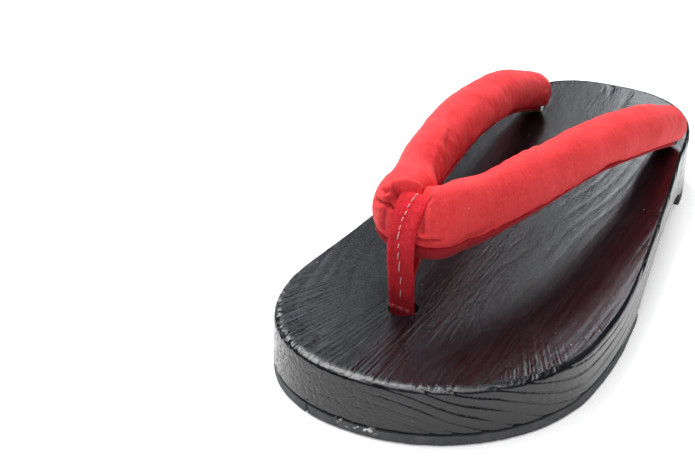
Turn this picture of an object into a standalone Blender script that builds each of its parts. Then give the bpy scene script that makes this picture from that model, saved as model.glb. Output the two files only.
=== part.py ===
"""A low wooden clog with a padded two-armed strap, a toe thong and rubber soles.

Metres, +Z up. +X points to the toe, +Y to the outer side of the foot. The origin lies on the
ground, below the middle of the base. Lengths along the clog are counted back from the toe.
"""
import math

import bmesh
import bpy
from mathutils import Vector

# ---------------------------------------------------------------- driving dimensions
LENGTH = 0.255
HALF_WIDTH = 0.0575
HEEL_HALF_WIDTH = 0.0431
TOE_ROUND = 0.0586          # length of the rounded toe
TOE_POWER = 2.08            # 2 is an ellipse, more is squarer
HEEL_ROUND = 0.0508
HEEL_POWER = 2.7
TOE_SWING = 0.0103          # how far the tip lies towards the big toe
HEEL_SWING = 0.0049
SWING_REACH = 0.090
TOE_FLARE = 0.0015          # the walls stand out this much at the ground, toe and heel

RUBBER = 0.0047
TOE_HEIGHT = 0.0218         # ground to top, at the toe
HEEL_HEIGHT = 0.0336
SAG = 0.0036                # the top dips this much between toe and heel
DISH = 0.0008               # and this much across
LIP_RADIUS = 0.0018

ARCH_FRONT = 0.110          # from the toe
ARCH_REAR = 0.043           # from the heel
ARCH_RISE = 0.0110
ARCH_STEP = 0.0006          # upright step where the arch starts

FRONT_HOLE = 0.0468         # from the toe
FRONT_HOLE_OFFSET = -0.0137
FRONT_HOLE_RADIUS = 0.0055
REAR_HOLES = 0.0400         # from the heel
REAR_HOLES_OFFSET = 0.0052
OUTER_HOLE_SPREAD = 0.0280  # from the strap's middle line, which leans to the outer side
INNER_HOLE_SPREAD = 0.0360
REAR_HOLE_RADIUS = 0.0038
REAR_EXIT_SHIFT = 0.0110    # the rear holes slant forward by this much

POCKET_RADIUS = 0.0120      # front recess for the knot
POCKET_DEPTH = 0.0090
CAP_RADIUS = 0.0157
CAP_THICK = 0.0012
CAP_SEAT = 0.0015
CAP_WINDOW = 0.0013         # rubber stands back from the cap's seat
NAIL_SPACING = 0.0276
NAIL_RADIUS = 0.0006
NAIL_HEAD_RADIUS = 0.0014
NAIL_HEAD = 0.0006
NAIL_LENGTH = 0.0080
REAR_POCKET_RADIUS = 0.0066
REAR_POCKET_TOP = 0.0150    # above the ground

ARM_HEIGHT = 0.0330         # middle of the strap above the top of the base, at the fold
ARM_HALF_WIDTH = 0.0097
ARM_HALF_HEIGHT = 0.0103
ARM_END_RADIUS = 0.0052
ARM_END_HEIGHT = 0.0056      # above the mouth of the rear hole
FOLD_HALF_WIDTH = 0.0058
FOLD_HALF_HEIGHT = 0.0120
FOLD_BEND = 0.0117          # bend radius of the strap's middle line at the fold
FOLD_FRONT = 0.0050         # the fold's middle line, behind the front hole
FOLD_REACH = 0.0245         # the arms start here, behind the front hole
SPREAD_POWER = 1.8          # how early the inner side takes up its wider spread
# The arms behind the fold: share of the way to the rear holes, distance from the middle line,
# height above or below ARM_HEIGHT, and what the section gains in half width and half height.
ARM_ROUTE = (
    (0.28, 0.0195, 0.0006, -0.0006, 0.0008),
    (0.52, 0.0257, -0.0007, 0.0, 0.0),
    (0.76, 0.0295, -0.0090, 0.0, -0.0003),
    (0.90, 0.0292, -0.0180, -0.0010, -0.0012),
    (0.965, 0.0286, -0.0232, -0.0022, -0.0026),
)
FOLD_WIDENING = (0.0002, 0.0014)    # half width gained at the bend's end and at the hinge
FOLD_STEP = (0.0083, 0.0023)        # along and across, between points of the fold's route
COVER_THICK = 0.0008
LINING_THICK = 0.0012
LINING_ANGLE = 52           # degrees of the section, each side of its lowest point
SEAM_ANGLE = 3
CORE_RADIUS = 0.0022
THONG_WIDTH = 0.0094
THONG_HOLE_WIDTH = 0.0084
THONG_THICK = 0.0020
THONG_SLACK = 0.0013        # the loop stands this much off the fold's crest
THONG_DEPTH = 0.0035        # how far the felt goes down the front hole
THONG_REAR_SETBACK = 0.0020 # the loop's rear leg stands this much ahead of the bend's middle
CROTCH_SHARE = 1.44         # width of the rear leg, in radii of the space inside the bend
KNOT_RADIUS = 0.0054
KNOT_HALF_HEIGHT = 0.0031
KNOT_SWELL = 0.06           # the knot's three lobes, as a share of its radius
KNOT_DROP = 0.0012          # the rear knots hang this far below their pockets' roofs

GAP = 0.0003                # clearance between pieces that touch
CORD_BREAK = 0.0012         # the turning cord ends this high above the mouth of its hole
FIT = 0.0004                # clearance round what passes through a hole in cloth or padding
HINGE_GAP = 0.0012          # between an arm and the fold that it turns against
WOOD_BOTTOM = RUBBER + GAP

TOE_STEPS = 12
SIDE_STEPS = 9
HEEL_STEPS = 11
TOP_RINGS = (0.86, 0.62, 0.34)
STRAP_STEPS = 4             # stations between two points of the strap's route
TAIL_STEPS = 4              # rounds that settle the corner of the cord's tail


# ---------------------------------------------------------------- the base's own shape
def top_height(back):
    """Height of the top above the ground, at a distance back from the toe."""
    t = back / LENGTH
    return TOE_HEIGHT + (HEEL_HEIGHT - TOE_HEIGHT) * t - 4 * SAG * t * (1 - t)


def fade(distance):
    return max(0.0, 1 - distance / SWING_REACH) ** 1.5


def swing(back):
    """Sideways lean of the outline towards the big toe."""
    return -TOE_SWING * fade(back) - HEEL_SWING * fade(LENGTH - back)


def half_outline():
    """(distance back, half width) from the tip of the toe to the back of the heel."""
    points = []
    for i in range(TOE_STEPS):
        a = math.pi / 2 * i / TOE_STEPS
        back = TOE_ROUND * (1 - math.cos(a) ** (2 / TOE_POWER))
        points.append((back, HALF_WIDTH * math.sin(a) ** (2 / TOE_POWER)))
    straight = LENGTH - TOE_ROUND - HEEL_ROUND
    for i in range(SIDE_STEPS):
        t = i / SIDE_STEPS
        taper = t * t * (2 - t)
        points.append((TOE_ROUND + straight * t, HALF_WIDTH + (HEEL_HALF_WIDTH - HALF_WIDTH) * taper))
    for i in range(HEEL_STEPS + 1):
        a = math.pi / 2 * i / HEEL_STEPS
        back = LENGTH - HEEL_ROUND + HEEL_ROUND * math.sin(a) ** (2 / HEEL_POWER)
        points.append((back, HEEL_HALF_WIDTH * max(0.0, math.cos(a)) ** (2 / HEEL_POWER)))
    return points


def raw_outline():
    half = half_outline()
    right = [(back, width + swing(back)) for back, width in half]
    left = [(back, -width + swing(back)) for back, width in half[1:-1]]
    return right + left[::-1]


def side_shift():
    """What brings the outline's widest points to the same distance from the middle."""
    sides = [y for _, y in raw_outline()]
    return -(max(sides) + min(sides)) / 2


SIDE_SHIFT = side_shift()


def outline():
    return [Vector((LENGTH / 2 - back, y + SIDE_SHIFT, 0)) for back, y in raw_outline()]


def back_of(x):
    return LENGTH / 2 - x


# ---------------------------------------------------------------- the strap's own frame
FRONT = Vector((LENGTH / 2 - FRONT_HOLE, FRONT_HOLE_OFFSET + SIDE_SHIFT, 0))
REAR = Vector((REAR_HOLES - LENGTH / 2, REAR_HOLES_OFFSET + SIDE_SHIFT, 0))
SPAN = (REAR - FRONT).length
ALONG = (REAR - FRONT).normalized()
ACROSS = Vector((-ALONG.y, ALONG.x, 0))
if ACROSS.y < 0:
    ACROSS = -ACROSS


def strap_point(u, v, w):
    """u back from the front hole, v to the outer side, w above the top of the base."""
    point = FRONT + ALONG * u + ACROSS * v
    point.z = top_height(back_of(point.x)) + w
    return point


def hole_spread(side):
    return OUTER_HOLE_SPREAD if side > 0 else INNER_HOLE_SPREAD


def arm_route(side):
    """(u, v, w, half width, half height) of one side, from the fold to the rear hole."""
    bend = FOLD_FRONT + FOLD_BEND
    along, across = FOLD_STEP
    rows = [
        (FOLD_FRONT, 0.0, ARM_HEIGHT, FOLD_HALF_WIDTH, FOLD_HALF_HEIGHT),
        (bend - along, along, ARM_HEIGHT, FOLD_HALF_WIDTH, FOLD_HALF_HEIGHT),
        (bend, FOLD_BEND, ARM_HEIGHT, FOLD_HALF_WIDTH + FOLD_WIDENING[0], FOLD_HALF_HEIGHT),
        (FOLD_REACH, FOLD_BEND + across, ARM_HEIGHT, FOLD_HALF_WIDTH + FOLD_WIDENING[1], FOLD_HALF_HEIGHT),
    ]
    wider = hole_spread(side) - OUTER_HOLE_SPREAD
    for share, v, w, gain_wide, gain_tall in ARM_ROUTE:
        rows.append((share * SPAN, v + wider * share ** SPREAD_POWER, ARM_HEIGHT + w,
                     ARM_HALF_WIDTH + gain_wide, ARM_HALF_HEIGHT + gain_tall))
    rows.append((SPAN, hole_spread(side), ARM_END_HEIGHT, ARM_END_RADIUS, ARM_END_RADIUS))
    return rows


def catmull(a, b, c, d, t):
    return tuple(
        0.5 * (2 * q + (r - p) * t + (2 * p - 5 * q + 4 * r - s) * t * t + (3 * q - p - 3 * r + s) * t ** 3)
        for p, q, r, s in zip(a, b, c, d)
    )


def smooth(rows, first, last):
    """Points of a smooth curve through rows; first and last are the rows beyond its ends."""
    padded = [first] + rows + [last]
    result = []
    for i in range(len(rows) - 1):
        for k in range(STRAP_STEPS):
            result.append(catmull(*padded[i:i + 4], k / STRAP_STEPS))
    result.append(tuple(rows[-1]))
    return result


def half_strap(side):
    """Stations of one side, from the fold's middle to the rear end."""
    rows = arm_route(side)
    mirrored = (rows[1][0], -rows[1][1]) + rows[1][2:]
    beyond = tuple(2 * e - f for e, f in zip(rows[-1], rows[-2]))
    return [(u, side * v, w, a, b) for u, v, w, a, b in smooth(rows, mirrored, beyond)]


FOLD_STATIONS = 3 * STRAP_STEPS


def arm_stations(side):
    """The stretch of the strap that turns: side +1 is the outer arm, -1 the inner one."""
    return half_strap(side)[FOLD_STATIONS:]


def fold_stations():
    outer = half_strap(1)[:FOLD_STATIONS + 1]
    inner = half_strap(-1)[1:FOLD_STATIONS + 1]
    return inner[::-1] + outer


# ---------------------------------------------------------------- Blender helpers
def clear_scene():
    for obj in list(bpy.data.objects):
        bpy.data.objects.remove(obj, do_unlink=True)


def new_collection(name):
    collection = bpy.data.collections.new(name)
    bpy.context.scene.collection.children.link(collection)
    return collection


def make_material(name, color, roughness, metallic=0.0):
    material = bpy.data.materials.new(name)
    material.use_nodes = True
    shader = material.node_tree.nodes["Principled BSDF"]
    shader.inputs["Base Color"].default_value = (*color, 1.0)
    shader.inputs["Roughness"].default_value = roughness
    shader.inputs["Metallic"].default_value = metallic
    return material


def to_object(name, bm, collection, material=None):
    bmesh.ops.recalc_face_normals(bm, faces=bm.faces)
    mesh = bpy.data.meshes.new(name)
    bm.to_mesh(mesh)
    bm.free()
    mesh.shade_smooth()
    mesh.set_sharp_from_angle(angle=math.radians(35))
    obj = bpy.data.objects.new(name, mesh)
    if material:
        mesh.materials.append(material)
    collection.objects.link(obj)
    return obj


def bridge(bm, ring_a, ring_b):
    count = len(ring_a)
    for i in range(count):
        j = (i + 1) % count
        bm.faces.new((ring_a[i], ring_a[j], ring_b[j], ring_b[i]))


def loft(rings):
    """A closed skin through rings of points with equal counts."""
    bm = bmesh.new()
    loops = [[bm.verts.new(p) for p in ring] for ring in rings]
    for a, b in zip(loops, loops[1:]):
        bridge(bm, a, b)
    bm.faces.new(loops[0])
    bm.faces.new(loops[-1])
    return bm


def cylinder(name, collection, radius, bottom, top, sides=32, material=None):
    """A cylinder between two points."""
    bm = bmesh.new()
    axis = top - bottom
    turn = axis.to_track_quat("Z", "Y").to_matrix().to_4x4()
    turn.translation = (bottom + top) / 2
    bmesh.ops.create_cone(bm, cap_ends=True, segments=sides, radius1=radius, radius2=radius,
                          depth=axis.length, matrix=turn)
    return to_object(name, bm, collection, material)


def extrude_y(name, collection, profile, half):
    """A flat outline in x and z, extruded to both sides."""
    rings = [[Vector((x, y, z)) for x, z in profile] for y in (-half, half)]
    return to_object(name, loft(rings), collection)


def box(name, collection, low, high):
    bm = bmesh.new()
    bmesh.ops.create_cube(bm, size=1.0)
    for vert in bm.verts:
        vert.co = Vector(low[k] + (vert.co[k] + 0.5) * (high[k] - low[k]) for k in range(3))
    return to_object(name, bm, collection)


def cut(target, cutter):
    cutter.hide_render = True
    cutter.display_type = "WIRE"
    modifier = target.modifiers.new(cutter.name, "BOOLEAN")
    modifier.operation = "DIFFERENCE"
    modifier.solver = "EXACT"
    modifier.object = cutter


# ---------------------------------------------------------------- base and soles
def flared(point, height):
    """The wall's foot stands out at the toe and the heel."""
    stretch = 1 + TOE_FLARE / (LENGTH / 2)
    return Vector((point.x * stretch, point.y, height))


def base_rings():
    edge = outline()
    rings = [[flared(p, WOOD_BOTTOM) for p in edge]]
    centre = Vector((0, 0, 0))
    lip = [(LIP_RADIUS * (1 - math.cos(a)), LIP_RADIUS * (1 - math.sin(a)))
           for a in (0, math.pi / 6, math.pi / 3, math.pi / 2)]
    for inset, drop in lip:
        k = 1 - inset / HALF_WIDTH
        rings.append([Vector((p.x * k, p.y * k, top_height(back_of(p.x * k)) - drop)) for p in edge])
    inner = 1 - LIP_RADIUS / HALF_WIDTH
    for share in TOP_RINGS:
        k = inner * share
        sink = DISH * (1 - share * share)
        rings.append([Vector((p.x * k, p.y * k, top_height(back_of(p.x * k)) - sink)) for p in edge])
    centre.z = top_height(back_of(0)) - DISH
    return rings, centre


def make_base(parts, cutters, material):
    rings, centre = base_rings()
    bm = bmesh.new()
    loops = [[bm.verts.new(p) for p in ring] for ring in rings]
    for a, b in zip(loops, loops[1:]):
        bridge(bm, a, b)
    bm.faces.new(loops[0])
    middle = bm.verts.new(centre)
    for i, vert in enumerate(loops[-1]):
        bm.faces.new((vert, loops[-1][(i + 1) % len(loops[-1])], middle))
    base = to_object("wooden_base", bm, parts, material)
    cut(base, arch_cutter(cutters))
    for cutter in front_cutters(cutters) + rear_cutters(cutters):
        cut(base, cutter)
    return base


def arch_ends():
    return LENGTH / 2 - ARCH_FRONT, ARCH_REAR - LENGTH / 2


def arch_height(x):
    """Height of the arch's roof above the ground."""
    front, rear = arch_ends()
    half = (front - rear) / 2
    rise = ARCH_RISE - ARCH_STEP
    radius = (half * half + rise * rise) / (2 * rise)
    offset = x - (front + rear) / 2
    return WOOD_BOTTOM + ARCH_RISE - radius + math.sqrt(radius * radius - offset * offset)


def arch_cutter(cutters):
    front, rear = arch_ends()
    steps = 20
    roof = [rear + (front - rear) * i / steps for i in range(steps + 1)]
    profile = [(front, 0.0), (rear, 0.0)] + [(x, arch_height(x)) for x in roof]
    return extrude_y("arch_cutter", cutters, profile, 2 * HALF_WIDTH)


def front_cutters(cutters):
    roof = WOOD_BOTTOM + POCKET_DEPTH
    seat = WOOD_BOTTOM + CAP_SEAT
    above = HEEL_HEIGHT * 2
    made = [
        cylinder("front_hole_cutter", cutters, FRONT_HOLE_RADIUS, at(FRONT, roof - 0.001), at(FRONT, above)),
        cylinder("pocket_cutter", cutters, POCKET_RADIUS, at(FRONT, 0.0), at(FRONT, roof), 40),
        cylinder("seat_cutter", cutters, CAP_RADIUS + GAP, at(FRONT, 0.001), at(FRONT, seat), 40),
    ]
    for i, spot in enumerate(nail_spots()):
        made.append(cylinder("nail_cutter_%d" % i, cutters, NAIL_RADIUS + GAP,
                             at(spot, 0.002), at(spot, nail_tip() + 2 * GAP), 12))
    return made


def at(point, height):
    return Vector((point.x, point.y, height))


def nail_spots():
    return [FRONT + Vector((0, side * NAIL_SPACING / 2, 0)) for side in (-1, 1)]


def cap_bottom():
    return WOOD_BOTTOM + CAP_SEAT - GAP - CAP_THICK


def nail_tip():
    return cap_bottom() - GAP + NAIL_LENGTH


def rear_hole(side):
    """Mouth of the hole on top and its exit in the small pocket below."""
    mouth = strap_point(SPAN, side * hole_spread(side), 0.0)
    below = mouth + Vector((REAR_EXIT_SHIFT, 0, 0))
    below.z = REAR_POCKET_TOP
    return mouth, below


def rear_cutters(cutters):
    made = []
    for name, side in (("inner", -1), ("outer", 1)):
        mouth, below = rear_hole(side)
        slope = (mouth - below).normalized()
        made.append(cylinder("%s_hole_cutter" % name, cutters, REAR_HOLE_RADIUS,
                             below - slope * 0.004, mouth + slope * 0.006, 20))
        made.append(cylinder("%s_pocket_cutter" % name, cutters, REAR_POCKET_RADIUS,
                             at(below, 0.0), at(below, REAR_POCKET_TOP), 28))
    return made


def make_soles(parts, cutters, material):
    edge = outline()
    front, rear = arch_ends()
    far = LENGTH
    keep_front = box("front_sole_cutter", cutters, (-far, -far, -0.01), (front, far, 0.02))
    keep_heel = box("heel_sole_cutter", cutters, (rear, -far, -0.01), (far, far, 0.02))
    window = cylinder("window_cutter", cutters, CAP_RADIUS + GAP + CAP_WINDOW,
                      at(FRONT, -0.01), at(FRONT, 0.01), 40)
    for name, cutter_list in (("front_sole", (keep_front, window)), ("heel_sole", (keep_heel,))):
        rings = [[flared(p, 0.0) for p in edge], [flared(p, RUBBER) for p in edge]]
        sole = to_object(name, loft(rings), parts, material)
        for cutter in cutter_list:
            cut(sole, cutter)


# ---------------------------------------------------------------- strap pieces
def frames(stations):
    """Centre, side and up directions at every station of the strap."""
    centres = [strap_point(*row[:3]) for row in stations]
    result = []
    for i, centre in enumerate(centres):
        ahead = centres[min(i + 1, len(centres) - 1)] - centres[max(i - 1, 0)]
        side = ahead.cross(Vector((0, 0, 1))).normalized()
        up = side.cross(ahead).normalized()
        result.append((centre, side, up))
    return result


def trimmed(stations, length):
    """The stations without a length at their first end."""
    rest = list(stations)
    gap = (strap_point(*rest[1][:3]) - strap_point(*rest[0][:3])).length
    while gap <= length:
        length -= gap
        rest.pop(0)
        gap = (strap_point(*rest[1][:3]) - strap_point(*rest[0][:3])).length
    share = length / gap
    return [tuple(p + (q - p) * share for p, q in zip(rest[0], rest[1]))] + rest[1:]


def tail_points(points, side):
    """The core cord past the padding: straight on until its bend clears the felt, then down to its hole."""
    end = strap_point(SPAN, side * hole_spread(side), CORD_BREAK)
    ahead = (points[-1] - points[-2]).normalized()
    corner = points[-1]
    for _ in range(TAIL_STEPS):
        turn = ahead.angle(end - corner)
        corner = points[-1] + ahead * (CORE_RADIUS * math.tan(turn / 2) + FIT)
    return [corner, end]


def section(frame, half_width, half_height, angle):
    centre, side, up = frame
    return centre + side * (half_width * math.sin(angle)) + up * (half_height * math.cos(angle))


def arc_shell(name, stations, first, last, thick, steps, parts, material):
    """A bent sheet that covers part of the strap's section, from first to last degree."""
    angles = [math.radians(first + (last - first) * i / steps) for i in range(steps + 1)]
    rings = []
    for row, frame in zip(stations, frames(stations)):
        a, b = row[3:]
        outer = [section(frame, a, b, angle) for angle in angles]
        inner = [section(frame, a - thick, b - thick, angle) for angle in angles]
        rings.append(outer + inner[::-1])
    return to_object(name, loft(rings), parts, material)


def padding_roll(name, stations, parts, material):
    """Wadding that fills the strap, with a bore for the core cord."""
    inset = LINING_THICK + FIT
    bore = CORE_RADIUS + FIT
    steps = 14
    bm = bmesh.new()
    outer, inner = [], []
    for row, frame in zip(stations, frames(stations)):
        a, b = row[3:]
        angles = [2 * math.pi * i / steps for i in range(steps)]
        outer.append([bm.verts.new(section(frame, a - inset, b - inset, t)) for t in angles])
        inner.append([bm.verts.new(section(frame, bore, bore, t)) for t in angles])
    for rings in (outer, inner):
        for p, q in zip(rings, rings[1:]):
            bridge(bm, p, q)
    for end in (0, -1):
        bridge(bm, outer[end], inner[end])
    return to_object(name, bm, parts, material)


def cord(name, points, radius, parts, material, resolution=2):
    """A round cord through points, as a poly curve made into a mesh with closed ends."""
    curve = bpy.data.curves.new(name, "CURVE")
    curve.dimensions = "3D"
    curve.bevel_depth = radius
    curve.bevel_resolution = resolution
    curve.use_fill_caps = True
    spline = curve.splines.new("POLY")
    spline.points.add(len(points) - 1)
    for target, point in zip(spline.points, points):
        target.co = (*point, 1.0)
    curve.materials.append(material)
    obj = bpy.data.objects.new(name, curve)
    parts.objects.link(obj)
    return obj


def make_strap(parts, paint):
    cover_from, cover_to = LINING_ANGLE + SEAM_ANGLE - 180, 180 - LINING_ANGLE - SEAM_ANGLE
    lining_from, lining_to = 180 - LINING_ANGLE, 180 + LINING_ANGLE
    stretches = [("fold", 0), ("inner", -1), ("outer", 1)]
    for name, side in stretches:
        rows = trimmed(arm_stations(side), HINGE_GAP) if side else fold_stations()
        inside = trimmed(rows[::-1], CORE_RADIUS)[::-1] if side else rows
        arc_shell("cover_" + name, rows, cover_from, cover_to, COVER_THICK, 14, parts, paint["cover"])
        arc_shell("lining_" + name, inside, lining_from, lining_to, LINING_THICK, 5, parts, paint["lining"])
        padding_roll("padding_" + name, inside, parts, paint["padding"])
        points = [strap_point(*row[:3]) for row in rows]
        if side:
            points += tail_points(points, side)
        cord("core_cord_" + name, points, CORE_RADIUS, parts, paint["cord"])


def thong_path():
    """(u, w, width) of the felt loop: up in front of the fold, over it and down behind it."""
    leg = THONG_THICK / 2 + GAP
    front = FOLD_FRONT - FOLD_HALF_WIDTH - FIT - THONG_THICK / 2
    rear = FOLD_FRONT + FOLD_BEND - THONG_REAR_SETBACK
    top = FOLD_HALF_HEIGHT + FIT + THONG_SLACK + THONG_THICK / 2
    crotch_width = CROTCH_SHARE * (FOLD_BEND - FOLD_HALF_WIDTH)
    path = [(-leg, -THONG_DEPTH, THONG_HOLE_WIDTH), (-leg, 0.002, THONG_HOLE_WIDTH),
            (-leg - 0.0006, 0.010, THONG_WIDTH - 0.0006), (front + 0.0002, 0.021, THONG_WIDTH)]
    middle, half = (front + rear) / 2, (rear - front) / 2
    steps = 12
    for i in range(steps + 1):
        a = math.pi * i / steps
        width = THONG_WIDTH + (crotch_width - THONG_WIDTH) * max(0.0, -math.cos(a))
        path.append((middle - half * math.cos(a), ARM_HEIGHT + top * math.sin(a), width))
    path += [(rear - 0.0008, 0.0235, crotch_width), (rear - 0.0045, 0.0150, crotch_width),
             (leg + 0.0035, 0.0075, THONG_HOLE_WIDTH), (leg + 0.0004, 0.0022, THONG_HOLE_WIDTH),
             (leg, -THONG_DEPTH, THONG_HOLE_WIDTH)]
    return path


def make_thong(parts, paint):
    path = thong_path()
    points = [strap_point(u, 0.0, w) for u, w, _ in path]
    rings = []
    for i, (point, row) in enumerate(zip(points, path)):
        ahead = (points[min(i + 1, len(points) - 1)] - points[max(i - 1, 0)]).normalized()
        out = ACROSS.cross(ahead).normalized()
        half, thick = row[2] / 2, THONG_THICK / 2
        corner = thick * 0.45
        shape = [(half, thick - corner), (half - corner, thick), (corner - half, thick), (-half, thick - corner),
                 (-half, corner - thick), (corner - half, -thick), (half - corner, -thick), (half, corner - thick)]
        rings.append([point + ACROSS * across + out * depth for across, depth in shape])
    to_object("thong_loop", loft(rings), parts, paint["thong"])
    top = top_height(FRONT_HOLE) - THONG_DEPTH - GAP
    knot_middle = WOOD_BOTTOM + POCKET_DEPTH - GAP - KNOT_HALF_HEIGHT
    cord("thong_cord", [at(FRONT, top), at(FRONT, knot_middle + KNOT_HALF_HEIGHT + GAP)], CORE_RADIUS,
         parts, paint["cord"], 3)
    make_knot("thong_knot", at(FRONT, knot_middle), parts, paint["cord"])


def make_knot(name, middle, parts, material):
    """The lump of a pulled knot: a flat ball with a waist."""
    steps = 10
    bm = bmesh.new()
    bmesh.ops.create_uvsphere(bm, u_segments=20, v_segments=steps, radius=1.0)
    for vert in bm.verts:
        turn = math.atan2(vert.co.y, vert.co.x)
        wide = KNOT_RADIUS * (1 + KNOT_SWELL * math.cos(3 * turn)) / (1 + KNOT_SWELL)
        vert.co = Vector((vert.co.x * wide, vert.co.y * wide, vert.co.z * KNOT_HALF_HEIGHT)) + middle
    return to_object(name, bm, parts, material)


def make_rear_cords(parts, paint):
    for name, side in (("inner", -1), ("outer", 1)):
        mouth, below = rear_hole(side)
        slope = (below - mouth).normalized()
        knot_top = REAR_POCKET_TOP - GAP - KNOT_DROP
        bend = at(below, REAR_POCKET_TOP + GAP)
        points = [mouth + slope * 0.0006, mouth + slope * 0.006, (mouth + bend) / 2, bend,
                  at(below, knot_top + GAP)]
        cord("rear_cord_" + name, points, CORE_RADIUS, parts, paint["cord"], 2)
        make_knot("rear_knot_" + name, at(below, knot_top - KNOT_HALF_HEIGHT), parts, paint["cord"])


# ---------------------------------------------------------------- knot cap and its nails
def make_cap(parts, cutters, material):
    bottom = cap_bottom()
    cap = cylinder("knot_cap", parts, CAP_RADIUS, at(FRONT, bottom), at(FRONT, bottom + CAP_THICK), 40, material)
    for i, spot in enumerate(nail_spots()):
        cut(cap, cylinder("cap_cutter_%d" % i, cutters, NAIL_RADIUS + GAP, at(spot, 0.0), at(spot, 0.01), 12))


def make_nails(parts, material):
    head_top = cap_bottom() - GAP
    profile = [(0.0, nail_tip()), (NAIL_RADIUS, nail_tip() - 0.0012), (NAIL_RADIUS, head_top),
               (NAIL_HEAD_RADIUS, head_top), (NAIL_HEAD_RADIUS * 0.8, head_top - NAIL_HEAD),
               (0.0, head_top - NAIL_HEAD)]
    for name, spot in zip(("inner", "outer"), nail_spots()):
        mesh = bpy.data.meshes.new("cap_nail_" + name)
        edges = [(i, i + 1) for i in range(len(profile) - 1)]
        mesh.from_pydata([(r, 0, z) for r, z in profile], edges, [])
        mesh.materials.append(material)
        nail = bpy.data.objects.new("cap_nail_" + name, mesh)
        nail.location = at(spot, 0.0)
        parts.objects.link(nail)
        turn = nail.modifiers.new("turn", "SCREW")
        turn.steps = 12
        turn.render_steps = 12
        turn.use_merge_vertices = True
        turn.merge_threshold = 0.00001


# ---------------------------------------------------------------- the whole clog
def main():
    clear_scene()
    parts = new_collection("wooden_clog")
    cutters = new_collection("cutters")
    wood = make_material("black_wood", (0.018, 0.018, 0.021), 0.32)
    rubber = make_material("rubber", (0.045, 0.046, 0.048), 0.75)
    steel = make_material("steel", (0.55, 0.55, 0.53), 0.35, 1.0)
    paint = {
        "cover": make_material("red_cloth", (0.72, 0.035, 0.055), 0.8),
        "lining": make_material("red_felt", (0.45, 0.008, 0.018), 0.95),
        "padding": make_material("wadding", (0.80, 0.78, 0.72), 0.95),
        "cord": make_material("hemp_cord", (0.55, 0.42, 0.26), 0.9),
        "thong": make_material("thong_felt", (0.52, 0.006, 0.02), 0.95),
    }
    make_base(parts, cutters, wood)
    make_soles(parts, cutters, rubber)
    make_strap(parts, paint)
    make_thong(parts, paint)
    make_rear_cords(parts, paint)
    make_cap(parts, cutters, steel)
    make_nails(parts, steel)


main()
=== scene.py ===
import math

import bpy
import numpy as np
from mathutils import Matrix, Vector


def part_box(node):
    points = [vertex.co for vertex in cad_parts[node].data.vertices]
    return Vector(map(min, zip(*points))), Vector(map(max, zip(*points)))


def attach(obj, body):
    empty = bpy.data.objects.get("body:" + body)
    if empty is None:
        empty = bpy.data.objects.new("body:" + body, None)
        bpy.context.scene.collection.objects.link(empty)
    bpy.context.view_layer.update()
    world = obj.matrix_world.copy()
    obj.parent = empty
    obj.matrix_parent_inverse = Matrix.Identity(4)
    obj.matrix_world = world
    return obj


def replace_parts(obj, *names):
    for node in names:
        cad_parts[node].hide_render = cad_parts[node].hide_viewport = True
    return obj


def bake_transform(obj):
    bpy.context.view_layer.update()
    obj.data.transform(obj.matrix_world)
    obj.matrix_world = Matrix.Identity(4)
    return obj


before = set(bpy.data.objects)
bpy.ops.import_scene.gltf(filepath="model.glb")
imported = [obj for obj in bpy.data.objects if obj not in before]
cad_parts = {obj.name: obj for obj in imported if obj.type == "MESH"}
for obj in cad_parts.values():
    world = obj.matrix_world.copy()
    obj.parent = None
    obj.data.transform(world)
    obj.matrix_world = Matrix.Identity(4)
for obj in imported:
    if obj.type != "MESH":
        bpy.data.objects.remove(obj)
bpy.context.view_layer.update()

MM = 0.001

# ---------------------------------------------------------------- sizes shared with the CAD, in mm
LENGTH = 255.0
HALF_WIDTH = 57.5
HEEL_HALF_WIDTH = 43.1
TOE_ROUND, TOE_POWER = 58.6, 2.08
HEEL_ROUND, HEEL_POWER = 50.8, 2.7
TOE_SWING, HEEL_SWING, SWING_REACH = 10.3, 4.9, 90.0
TOE_FLARE = 1.5
RUBBER = 4.7
WOOD_BOTTOM = 5.0
TOE_HEIGHT, HEEL_HEIGHT, SAG, DISH = 21.8, 33.6, 3.6, 0.8
LIP_RADIUS = 1.8
ARCH_FRONT, ARCH_REAR = 17.5, -84.5
ARCH_RISE, ARCH_STEP = 11.0, 0.6
FRONT_HOLE, FRONT_HOLE_OFFSET, FRONT_HOLE_RADIUS = 46.8, -13.7, 5.5
REAR_HOLES, REAR_HOLES_OFFSET = 40.0, 5.2
HOLE_SPREAD = {1: 28.0, -1: 36.0}
REAR_HOLE_RADIUS, REAR_EXIT_SHIFT = 3.8, 11.0
SPREAD_POWER = 1.8
POCKET_RADIUS, POCKET_DEPTH = 12.0, 9.0
CAP_RADIUS, CAP_SEAT = 15.7, 1.5
REAR_POCKET_RADIUS, REAR_POCKET_TOP = 6.6, 15.0
ARM_HEIGHT, ARM_HALF_WIDTH, ARM_HALF_HEIGHT = 33.0, 9.7, 10.3
FOLD_HALF_WIDTH, FOLD_HALF_HEIGHT = 5.8, 12.0
FOLD_BEND, FOLD_FRONT, FOLD_REACH = 11.7, 5.0, 24.5

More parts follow.
